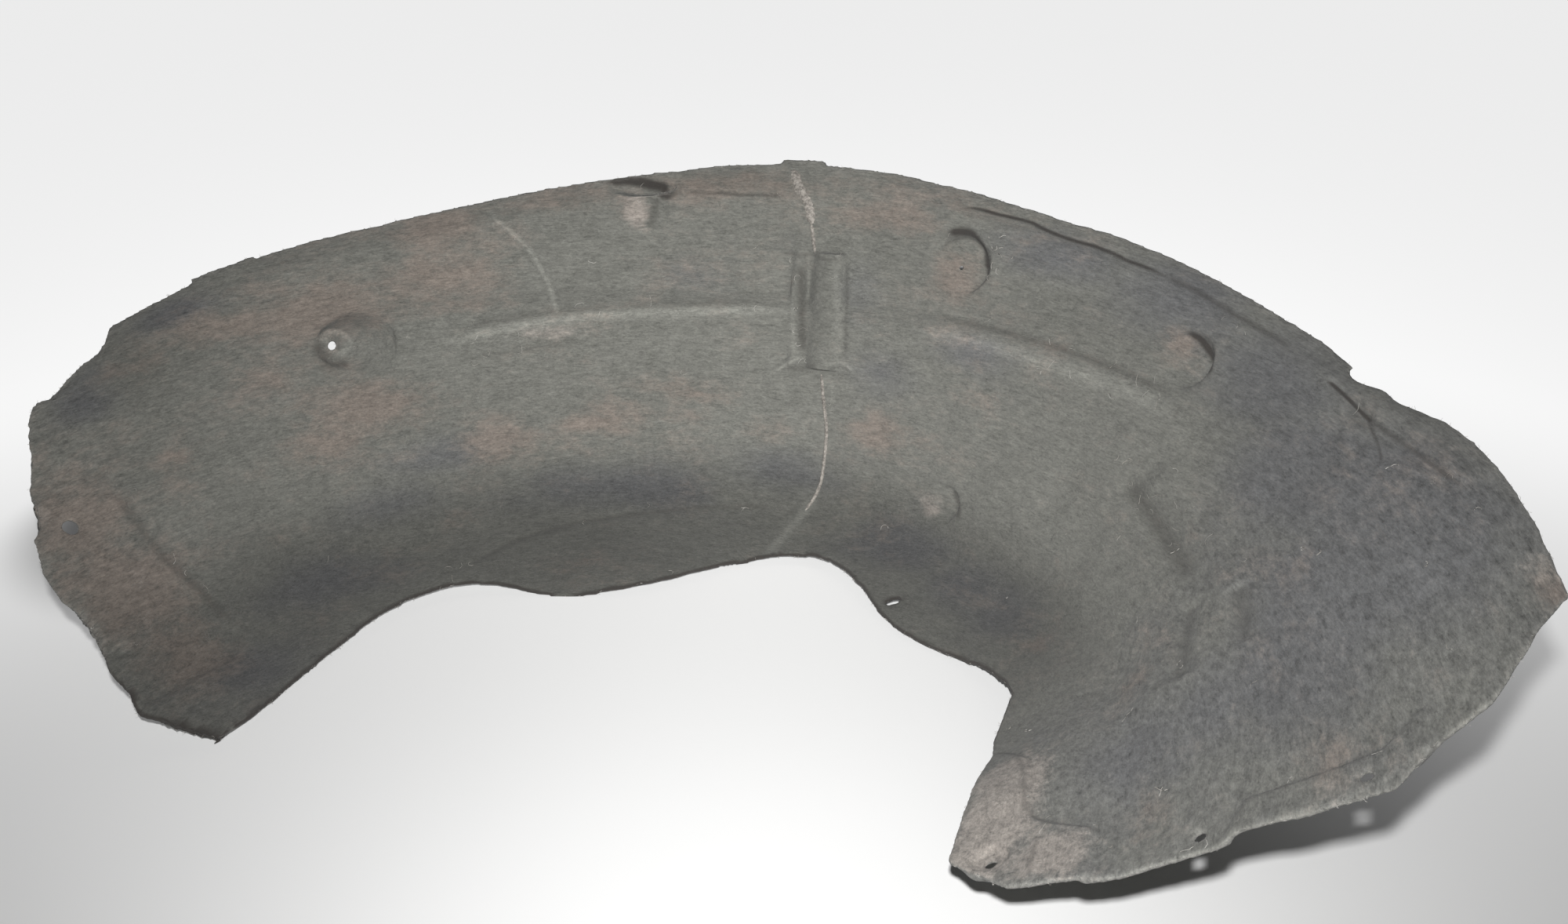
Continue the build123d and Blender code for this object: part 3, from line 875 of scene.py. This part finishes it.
def lintPath(start, dice):
    place, normal = onFelt(start)
    way = Vector(dice.normal(size=3)).cross(normal).normalized()
    step = dice.uniform(*fibreSet["lintLength"]) / fibreSet["lintSteps"]
    bend = dice.normal() * fibreSet["lintBend"]
    low, more = fibreSet["lintLift"]
    path = []
    for k in range(fibreSet["lintSteps"] + 1):
        path.append(place + normal * (low + more * dice.uniform()))
        stray = Vector(dice.normal(size=3)) * fibreSet["lintStray"]
        way = (way + normal.cross(way) * bend + stray).normalized()
        place, normal = onFelt(place + way * step)
    return path


def fuzzPath(place, normal, dice):
    root, along = fibreSet["fuzzStray"]
    way = (normal + Vector(dice.normal(size=3)) * root).normalized()
    step = dice.uniform(*fibreSet["fuzzLength"]) / fibreSet["fuzzSteps"]
    path = [place - way * fibreSet["fuzzRoot"]]
    for k in range(fibreSet["fuzzSteps"]):
        place = place + way * step
        place.z = max(place.z, fibreSet["floorGap"])
        path.append(place.copy())
        way = (way + Vector(dice.normal(size=3)) * along).normalized()
    return path


def scatterFibres(shell):
    material, shader, wire = newMaterial("lintFibre", {"Roughness": 0.8})
    tone = flowOf(wire).stretch((fibreSet["toneScale"],) * 3).noise(2, 0.5).between(*fibreSet["toneFade"])
    wire.mixed(fibreSet["dark"], fibreSet["pale"], tone).feed(shader, "Base Color")
    dice = np.random.default_rng(41)
    points, edges, normals = meshArrays(shell.data)
    side = np.sum(normals * wheelWard(points), axis=1)
    fibrePoints, fibreFaces = [], []
    starts = [Vector(onArch(*p)) for p in lintSpots]
    facing = np.flatnonzero(side > fibreSet["lintFacing"])
    starts += [Vector(points[k]) for k in dice.choice(facing, fibreSet["lint"])]
    for count, start in enumerate(starts):
        thick = fibreSet["spotThick"] if count < len(lintSpots) else dice.uniform(*fibreSet["lintThick"])
        addFibre(fibrePoints, fibreFaces, lintPath(start, dice), fibreSet["lintRadius"] * thick)
    nearest, turned = fibreSet["fuzzRim"]
    rim = np.flatnonzero((edgeDistance(points, edges, side) < nearest) & (np.abs(side) < turned))
    for k in dice.choice(rim, fibreSet["fuzz"]):
        path = fuzzPath(Vector(points[k]), Vector(normals[k]), dice)
        thick = dice.uniform(*fibreSet["fuzzThick"])
        addFibre(fibrePoints, fibreFaces, path, fibreSet["fuzzRadius"] * thick)
    fibres = meshPiece("looseFibres", fibrePoints, fibreFaces, material)
    print("fibres scattered,", len(fibres.data.polygons), "faces")


scatterFibres(shell)

# pale floor and studio light

stageSet = {
    "floor": 120.0,
    "floorTone": (0.81, 0.81, 0.805),
    "glow": 0.8,                        # evens the floor far from the flash
    "glowFrom": (0.05, -0.35),
    "glowReach": (0.25, 1.25),
    "glowFront": (-0.26, 0.45),         # and from here towards the camera
    "shadeArc": 0.6,                    # shade on the floor behind the liner, about the wheel's axis
    "shadeTurn": (0.9, 2.25),
    "shadeReach": (0.12, 0.2),
    "shadeDepth": 0.86,
    "clipShade": (0.31, 1.016),         # and on the floor seen through the clip hole
    "clipReach": (0.014, 0.045),
    "flash": 4.9,
    "flashSize": 0.035,
    "flashPlace": (0.064, -0.9375, 0.7154),
    "flashAim": (0.05, 0.12, 0.12),
    "flashSpread": 83,
    "sky": 0.04,
    "skyTone": (0.97, 0.98, 1.0),
}


def distanceTo(x, y, place):
    return ((x - place[0]) ** 2 + (y - place[1]) ** 2) ** 0.5


def floorGlow(wire):
    place = wire.node("TexCoord", None, None, out="Object")
    x, y = (wire.node("SeparateXYZ", None, {0: place}, out=k) for k in range(2))
    front, reach = stageSet["glowFront"]
    far = distanceTo(x, y, stageSet["glowFrom"]).between(*stageSet["glowReach"])
    glow = wire.maths("MAXIMUM", far, (front - y).between(0.0, reach))
    turn = wire.maths("ARCTAN2", y - wheelAxis[1], x - wheelAxis[0])
    least, most = stageSet["shadeTurn"]
    turn = wire.maths("MINIMUM", wire.maths("MAXIMUM", turn, least), most)
    arcX = wheelAxis[0] + wire.maths("COSINE", turn) * stageSet["shadeArc"]
    arcY = wheelAxis[1] + wire.maths("SINE", turn) * stageSet["shadeArc"]
    clear = distanceTo(x, y, (arcX, arcY)).between(*stageSet["shadeReach"])
    shade = 1 - stageSet["shadeDepth"] + stageSet["shadeDepth"] * clear
    clip = distanceTo(x, y, stageSet["clipShade"]).between(*stageSet["clipReach"])
    return glow * shade * clip * stageSet["glow"]


def setStage():
    half = stageSet["floor"] / 2
    mesh = bpy.data.meshes.new("floor")
    corners = [(-half, -half, 0), (half, -half, 0), (half, half, 0), (-half, half, 0)]
    mesh.from_pydata(corners, [], [(0, 1, 2, 3)])
    floor = bpy.data.objects.new("floor", mesh)
    bpy.context.scene.collection.objects.link(floor)
    fixed = {"Roughness": 0.8, "Base Color": (*stageSet["floorTone"], 1), "Emission Strength": 1.0}
    material, shader, wire = newMaterial("paleFloor", fixed)
    floorGlow(wire).grey().feed(shader, "Emission Color")
    mesh.materials.append(material)

    world = bpy.data.worlds.new("softSky")
    world.use_nodes = True
    sky = world.node_tree.nodes["Background"]
    sky.inputs["Color"].default_value = (*stageSet["skyTone"], 1)
    sky.inputs["Strength"].default_value = stageSet["sky"]
    bpy.context.scene.world = world

    lamp = bpy.data.lights.new("flash", "AREA")
    lamp.size = stageSet["flashSize"]
    lamp.energy = stageSet["flash"]
    lamp.spread = math.radians(stageSet["flashSpread"])
    flash = bpy.data.objects.new("flash", lamp)
    flash.location = stageSet["flashPlace"]
    aim = Vector(stageSet["flashAim"]) - Vector(stageSet["flashPlace"])
    flash.rotation_euler = aim.to_track_quat("-Z", "Y").to_euler()
    bpy.context.scene.collection.objects.link(flash)
    bpy.context.scene.view_settings.view_transform = "Standard"
    print("stage set")


setStage()
